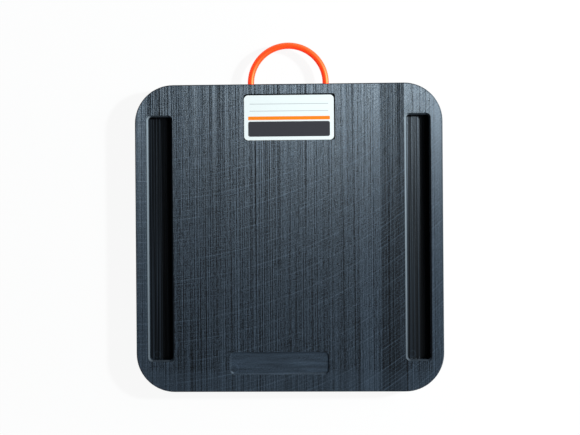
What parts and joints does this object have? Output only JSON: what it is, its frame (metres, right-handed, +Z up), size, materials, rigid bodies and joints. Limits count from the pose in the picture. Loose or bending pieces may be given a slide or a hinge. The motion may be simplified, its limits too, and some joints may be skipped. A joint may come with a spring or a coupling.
{
  "type": "crane outrigger pad",
  "caption": "Square black polyethylene slab with round corners, long milled slots for an outrigger foot, a label plate in a pocket and an orange cord carrying loop in one edge.",
  "frame": {"origin": "middle of the slab's underside, where the pad rests on the ground", "axes": "+Z up through the top face, +Y towards the edge with the carrying loop, +X to the right seen from above"},
  "size_m": [0.6096, 0.6939, 0.0508],
  "materials": {
    "planed_polyethylene": "black polyethylene, planed, with fine straight lines and faint cutter arcs",
    "label_plate": "white printed plastic plate, satin",
    "orange_cord": "extruded urethane cord, satin, bright orange",
    "crimped_sleeve": "bare aluminium with crimped rings"
  },
  "bodies": {
    "root": {"pad": "planed_polyethylene", "id_plate": "label_plate", "handle": "orange_cord", "stop_sleeve_left": "crimped_sleeve", "stop_sleeve_right": "crimped_sleeve"}
  },
  "joints": []
}
